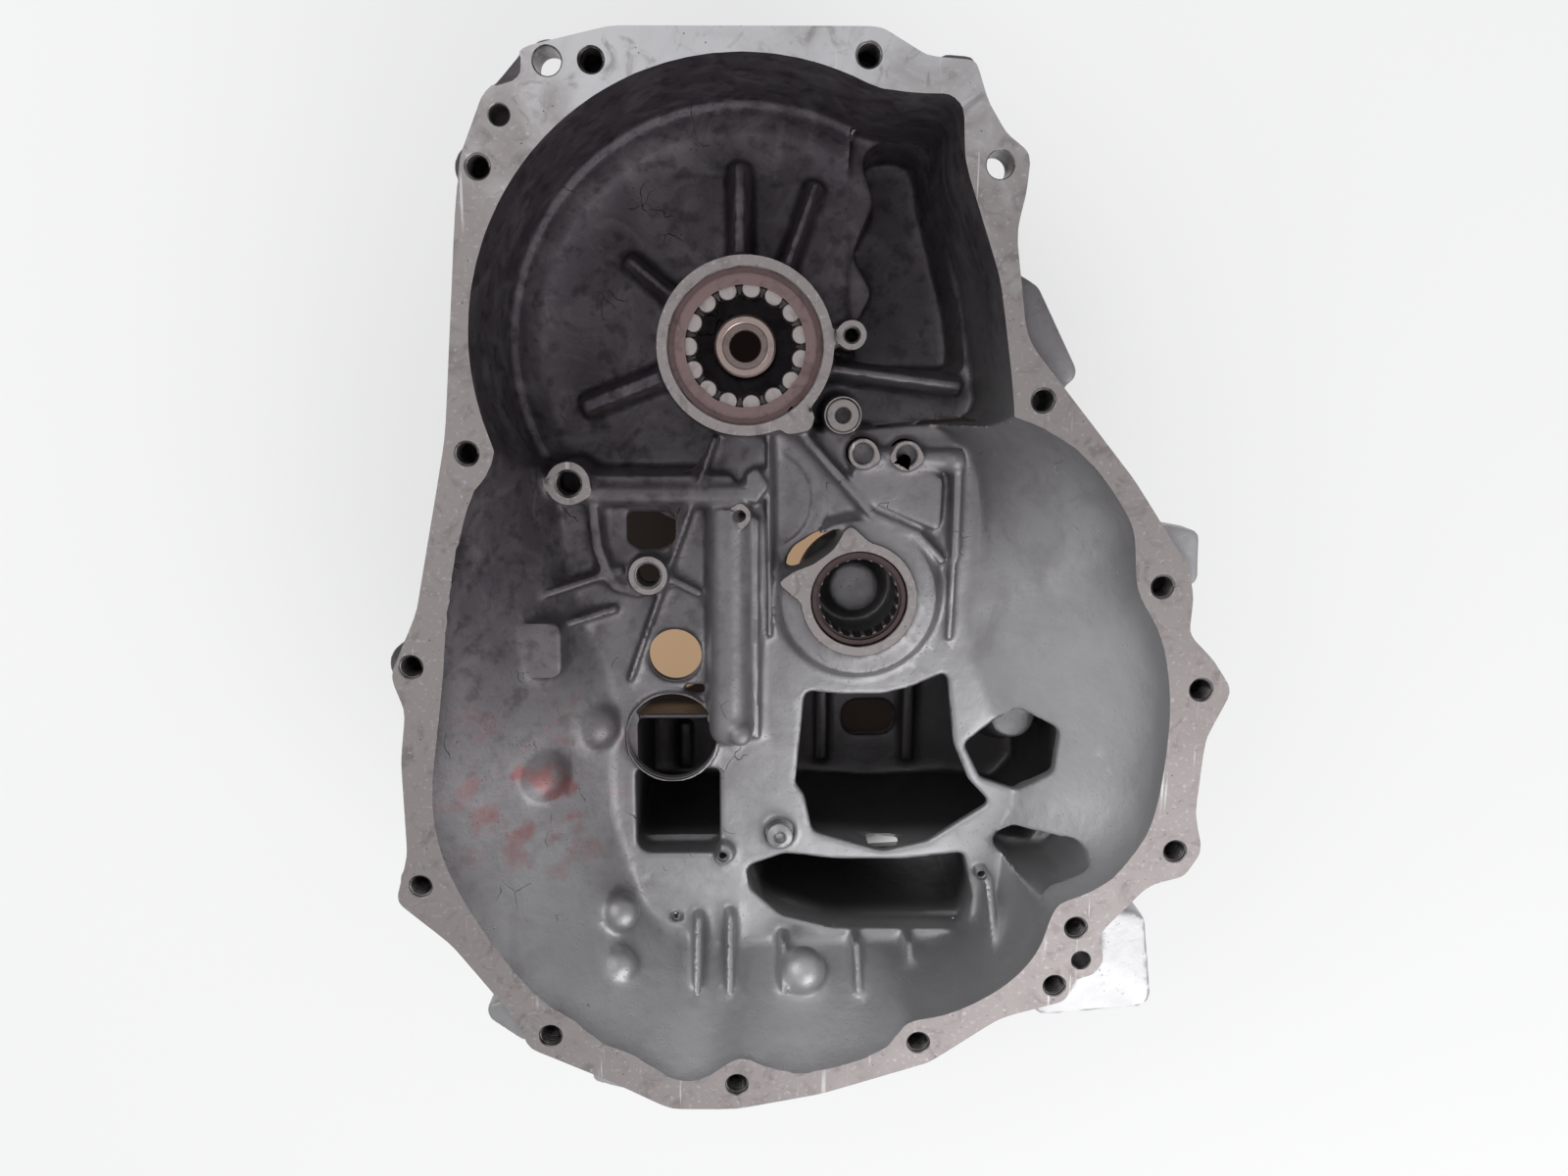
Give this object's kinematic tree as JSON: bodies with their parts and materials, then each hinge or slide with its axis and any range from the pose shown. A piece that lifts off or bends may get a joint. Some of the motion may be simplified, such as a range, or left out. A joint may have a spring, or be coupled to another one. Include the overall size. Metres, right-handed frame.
{
  "type": "gearbox housing",
  "caption": "Die-cast gearbox case half with a bowl, an oil chamber, a bolted mating flange and its roller and needle bearings.",
  "frame": {"origin": "main bearing axis at the face of the main boss, on the mouth of the pilot bush", "axes": "+Z leaves the open side along the main bearing axis, +Y runs from the lower chamber to the bowl along the case's length, +X to the right seen from the open side"},
  "size_m": [0.4229, 0.5425, 0.18],
  "materials": {
    "cast_aluminium": "die cast, with milled flange and boss faces",
    "bearing_steel": "ground",
    "spring_steel": "oiled",
    "ground_steel": "ground",
    "bush_bronze": "bored",
    "roller_steel": "ground",
    "needle_shell_steel": "drawn",
    "needle_cage_steel": "blackened",
    "needle_steel": "ground",
    "dark_cage": "moulded"
  },
  "bodies": {
    "housing": {"housing_casting": "cast_aluminium", "main_bearing_outer_ring": "bearing_steel", "main_bearing_snap_ring": "spring_steel", "support_tube": "ground_steel", "support_tube_bush": "bush_bronze", "transfer_sleeve": "ground_steel", "needle_bearing_shell": "needle_shell_steel"},
    "main_cage": {"main_bearing_cage": "dark_cage"},
    "needle_cage": {"needle_bearing_cage": "needle_cage_steel"},
    "main_roller_01": {"main_roller_01": "roller_steel"},
    "main_roller_02": {"main_roller_02": "roller_steel"},
    "main_roller_03": {"main_roller_03": "roller_steel"},
    "main_roller_04": {"main_roller_04": "roller_steel"},
    "main_roller_05": {"main_roller_05": "roller_steel"},
    "main_roller_06": {"main_roller_06": "roller_steel"},
    "main_roller_07": {"main_roller_07": "roller_steel"},
    "main_roller_08": {"main_roller_08": "roller_steel"},
    "main_roller_09": {"main_roller_09": "roller_steel"},
    "main_roller_10": {"main_roller_10": "roller_steel"},
    "main_roller_11": {"main_roller_11": "roller_steel"},
    "main_roller_12": {"main_roller_12": "roller_steel"},
    "main_roller_13": {"main_roller_13": "roller_steel"},
    "main_roller_14": {"main_roller_14": "roller_steel"},
    "main_roller_15": {"main_roller_15": "roller_steel"},
    "needle_01": {"needle_01": "needle_steel"},
    "needle_02": {"needle_02": "needle_steel"},
    "needle_03": {"needle_03": "needle_steel"},
    "needle_04": {"needle_04": "needle_steel"},
    "needle_05": {"needle_05": "needle_steel"},
    "needle_06": {"needle_06": "needle_steel"},
    "needle_07": {"needle_07": "needle_steel"},
    "needle_08": {"needle_08": "needle_steel"},
    "needle_09": {"needle_09": "needle_steel"},
    "needle_10": {"needle_10": "needle_steel"},
    "needle_11": {"needle_11": "needle_steel"},
    "needle_12": {"needle_12": "needle_steel"},
    "needle_13": {"needle_13": "needle_steel"},
    "needle_14": {"needle_14": "needle_steel"},
    "needle_15": {"needle_15": "needle_steel"},
    "needle_16": {"needle_16": "needle_steel"},
    "needle_17": {"needle_17": "needle_steel"},
    "needle_18": {"needle_18": "needle_steel"},
    "needle_19": {"needle_19": "needle_steel"},
    "needle_20": {"needle_20": "needle_steel"},
    "needle_21": {"needle_21": "needle_steel"}
  },
  "joints": [
    {"name": "main_cage_spin", "type": "hinge", "parent": "housing", "child": "main_cage", "pos_m": [0, 0, -0.0129], "axis": [0, 0, 1], "continuous": true},
    {"name": "needle_cage_spin", "type": "hinge", "parent": "housing", "child": "needle_cage", "pos_m": [0.061, -0.133, -0.011], "axis": [0, 0, 1], "continuous": true},
    {"name": "main_roller_01_spin", "type": "hinge", "parent": "main_cage", "child": "main_roller_01", "pos_m": [0.00305, 0.02952, -0.0129], "axis": [0, 0, 1], "continuous": true},
    {"name": "main_roller_02_spin", "type": "hinge", "parent": "main_cage", "child": "main_roller_02", "pos_m": [-0.00922, 0.02821, -0.0129], "axis": [0, 0, 1], "continuous": true},
    {"name": "main_roller_03_spin", "type": "hinge", "parent": "main_cage", "child": "main_roller_03", "pos_m": [-0.01989, 0.02202, -0.0129], "axis": [0, 0, 1], "continuous": true},
    {"name": "main_roller_04_spin", "type": "hinge", "parent": "main_cage", "child": "main_roller_04", "pos_m": [-0.02713, 0.01202, -0.0129], "axis": [0, 0, 1], "continuous": true},
    {"name": "main_roller_05_spin", "type": "hinge", "parent": "main_cage", "child": "main_roller_05", "pos_m": [-0.02967, -0.00005, -0.0129], "axis": [0, 0, 1], "continuous": true},
    {"name": "main_roller_06_spin", "type": "hinge", "parent": "main_cage", "child": "main_roller_06", "pos_m": [-0.02709, -0.01212, -0.0129], "axis": [0, 0, 1], "continuous": true},
    {"name": "main_roller_07_spin", "type": "hinge", "parent": "main_cage", "child": "main_roller_07", "pos_m": [-0.01982, -0.02209, -0.0129], "axis": [0, 0, 1], "continuous": true},
    {"name": "main_roller_08_spin", "type": "hinge", "parent": "main_cage", "child": "main_roller_08", "pos_m": [-0.00912, -0.02824, -0.0129], "axis": [0, 0, 1], "continuous": true},
    {"name": "main_roller_09_spin", "type": "hinge", "parent": "main_cage", "child": "main_roller_09", "pos_m": [0.00315, -0.02951, -0.0129], "axis": [0, 0, 1], "continuous": true},
    {"name": "main_roller_10_spin", "type": "hinge", "parent": "main_cage", "child": "main_roller_10", "pos_m": [0.01488, -0.02567, -0.0129], "axis": [0, 0, 1], "continuous": true},
    {"name": "main_roller_11_spin", "type": "hinge", "parent": "main_cage", "child": "main_roller_11", "pos_m": [0.02404, -0.0174, -0.0129], "axis": [0, 0, 1], "continuous": true},
    {"name": "main_roller_12_spin", "type": "hinge", "parent": "main_cage", "child": "main_roller_12", "pos_m": [0.02904, -0.00612, -0.0129], "axis": [0, 0, 1], "continuous": true},
    {"name": "main_roller_13_spin", "type": "hinge", "parent": "main_cage", "child": "main_roller_13", "pos_m": [0.02902, 0.00622, -0.0129], "axis": [0, 0, 1], "continuous": true},
    {"name": "main_roller_14_spin", "type": "hinge", "parent": "main_cage", "child": "main_roller_14", "pos_m": [0.02398, 0.01748, -0.0129], "axis": [0, 0, 1], "continuous": true},
    {"name": "main_roller_15_spin", "type": "hinge", "parent": "main_cage", "child": "main_roller_15", "pos_m": [0.01479, 0.02573, -0.0129], "axis": [0, 0, 1], "continuous": true},
    {"name": "needle_01_spin", "type": "hinge", "parent": "needle_cage", "child": "needle_01", "pos_m": [0.08356, -0.13142, -0.011], "axis": [0, 0, 1], "continuous": true},
    {"name": "needle_02_spin", "type": "hinge", "parent": "needle_cage", "child": "needle_02", "pos_m": [0.08209, -0.12484, -0.011], "axis": [0, 0, 1], "continuous": true},
    {"name": "needle_03_spin", "type": "hinge", "parent": "needle_cage", "child": "needle_03", "pos_m": [0.07875, -0.11899, -0.011], "axis": [0, 0, 1], "continuous": true},
    {"name": "needle_04_spin", "type": "hinge", "parent": "needle_cage", "child": "needle_04", "pos_m": [0.07383, -0.11438, -0.011], "axis": [0, 0, 1], "continuous": true},
    {"name": "needle_05_spin", "type": "hinge", "parent": "needle_cage", "child": "needle_05", "pos_m": [0.06777, -0.11143, -0.011], "axis": [0, 0, 1], "continuous": true},
    {"name": "needle_06_spin", "type": "hinge", "parent": "needle_cage", "child": "needle_06", "pos_m": [0.06111, -0.11039, -0.011], "axis": [0, 0, 1], "continuous": true},
    {"name": "needle_07_spin", "type": "hinge", "parent": "needle_cage", "child": "needle_07", "pos_m": [0.05444, -0.11136, -0.011], "axis": [0, 0, 1], "continuous": true},
    {"name": "needle_08_spin", "type": "hinge", "parent": "needle_cage", "child": "needle_08", "pos_m": [0.04836, -0.11425, -0.011], "axis": [0, 0, 1], "continuous": true},
    {"name": "needle_09_spin", "type": "hinge", "parent": "needle_cage", "child": "needle_09", "pos_m": [0.04339, -0.11882, -0.011], "axis": [0, 0, 1], "continuous": true},
    {"name": "needle_10_spin", "type": "hinge", "parent": "needle_cage", "child": "needle_10", "pos_m": [0.03999, -0.12463, -0.011], "axis": [0, 0, 1], "continuous": true},
    {"name": "needle_11_spin", "type": "hinge", "parent": "needle_cage", "child": "needle_11", "pos_m": [0.03846, -0.1312, -0.011], "axis": [0, 0, 1], "continuous": true},
    {"name": "needle_12_spin", "type": "hinge", "parent": "needle_cage", "child": "needle_12", "pos_m": [0.03893, -0.13792, -0.011], "axis": [0, 0, 1], "continuous": true},
    {"name": "needle_13_spin", "type": "hinge", "parent": "needle_cage", "child": "needle_13", "pos_m": [0.04136, -0.14421, -0.011], "axis": [0, 0, 1], "continuous": true},
    {"name": "needle_14_spin", "type": "hinge", "parent": "needle_cage", "child": "needle_14", "pos_m": [0.04554, -0.1495, -0.011], "axis": [0, 0, 1], "continuous": true},
    {"name": "needle_15_spin", "type": "hinge", "parent": "needle_cage", "child": "needle_15", "pos_m": [0.05109, -0.15332, -0.011], "axis": [0, 0, 1], "continuous": true},
    {"name": "needle_16_spin", "type": "hinge", "parent": "needle_cage", "child": "needle_16", "pos_m": [0.05752, -0.15534, -0.011], "axis": [0, 0, 1], "continuous": true},
    {"name": "needle_17_spin", "type": "hinge", "parent": "needle_cage", "child": "needle_17", "pos_m": [0.06426, -0.15537, -0.011], "axis": [0, 0, 1], "continuous": true},
    {"name": "needle_18_spin", "type": "hinge", "parent": "needle_cage", "child": "needle_18", "pos_m": [0.07071, -0.15342, -0.011], "axis": [0, 0, 1], "continuous": true},
    {"name": "needle_19_spin", "type": "hinge", "parent": "needle_cage", "child": "needle_19", "pos_m": [0.0763, -0.14965, -0.011], "axis": [0, 0, 1], "continuous": true},
    {"name": "needle_20_spin", "type": "hinge", "parent": "needle_cage", "child": "needle_20", "pos_m": [0.08052, -0.1444, -0.011], "axis": [0, 0, 1], "continuous": true},
    {"name": "needle_21_spin", "type": "hinge", "parent": "needle_cage", "child": "needle_21", "pos_m": [0.08302, -0.13814, -0.011], "axis": [0, 0, 1], "continuous": true}
  ],
  "couplings": [
    {"joint": "main_roller_01_spin", "follows": "main_cage_spin", "ratio": -7.0974},
    {"joint": "main_roller_02_spin", "follows": "main_cage_spin", "ratio": -7.0974},
    {"joint": "main_roller_03_spin", "follows": "main_cage_spin", "ratio": -7.0974},
    {"joint": "main_roller_04_spin", "follows": "main_cage_spin", "ratio": -7.0974},
    {"joint": "main_roller_05_spin", "follows": "main_cage_spin", "ratio": -7.0974},
    {"joint": "main_roller_06_spin", "follows": "main_cage_spin", "ratio": -7.0974},
    {"joint": "main_roller_07_spin", "follows": "main_cage_spin", "ratio": -7.0974},
    {"joint": "main_roller_08_spin", "follows": "main_cage_spin", "ratio": -7.0974},
    {"joint": "main_roller_09_spin", "follows": "main_cage_spin", "ratio": -7.0974},
    {"joint": "main_roller_10_spin", "follows": "main_cage_spin", "ratio": -7.0974},
    {"joint": "main_roller_11_spin", "follows": "main_cage_spin", "ratio": -7.0974},
    {"joint": "main_roller_12_spin", "follows": "main_cage_spin", "ratio": -7.0974},
    {"joint": "main_roller_13_spin", "follows": "main_cage_spin", "ratio": -7.0974},
    {"joint": "main_roller_14_spin", "follows": "main_cage_spin", "ratio": -7.0974},
    {"joint": "main_roller_15_spin", "follows": "main_cage_spin", "ratio": -7.0974},
    {"joint": "needle_01_spin", "follows": "needle_cage_spin", "ratio": -13.943},
    {"joint": "needle_02_spin", "follows": "needle_cage_spin", "ratio": -13.943},
    {"joint": "needle_03_spin", "follows": "needle_cage_spin", "ratio": -13.943},
    {"joint": "needle_04_spin", "follows": "needle_cage_spin", "ratio": -13.943},
    {"joint": "needle_05_spin", "follows": "needle_cage_spin", "ratio": -13.943},
    {"joint": "needle_06_spin", "follows": "needle_cage_spin", "ratio": -13.943},
    {"joint": "needle_07_spin", "follows": "needle_cage_spin", "ratio": -13.943},
    {"joint": "needle_08_spin", "follows": "needle_cage_spin", "ratio": -13.943},
    {"joint": "needle_09_spin", "follows": "needle_cage_spin", "ratio": -13.943},
    {"joint": "needle_10_spin", "follows": "needle_cage_spin", "ratio": -13.943},
    {"joint": "needle_11_spin", "follows": "needle_cage_spin", "ratio": -13.943},
    {"joint": "needle_12_spin", "follows": "needle_cage_spin", "ratio": -13.943},
    {"joint": "needle_13_spin", "follows": "needle_cage_spin", "ratio": -13.943},
    {"joint": "needle_14_spin", "follows": "needle_cage_spin", "ratio": -13.943},
    {"joint": "needle_15_spin", "follows": "needle_cage_spin", "ratio": -13.943},
    {"joint": "needle_16_spin", "follows": "needle_cage_spin", "ratio": -13.943},
    {"joint": "needle_17_spin", "follows": "needle_cage_spin", "ratio": -13.943},
    {"joint": "needle_18_spin", "follows": "needle_cage_spin", "ratio": -13.943},
    {"joint": "needle_19_spin", "follows": "needle_cage_spin", "ratio": -13.943},
    {"joint": "needle_20_spin", "follows": "needle_cage_spin", "ratio": -13.943},
    {"joint": "needle_21_spin", "follows": "needle_cage_spin", "ratio": -13.943}
  ]
}
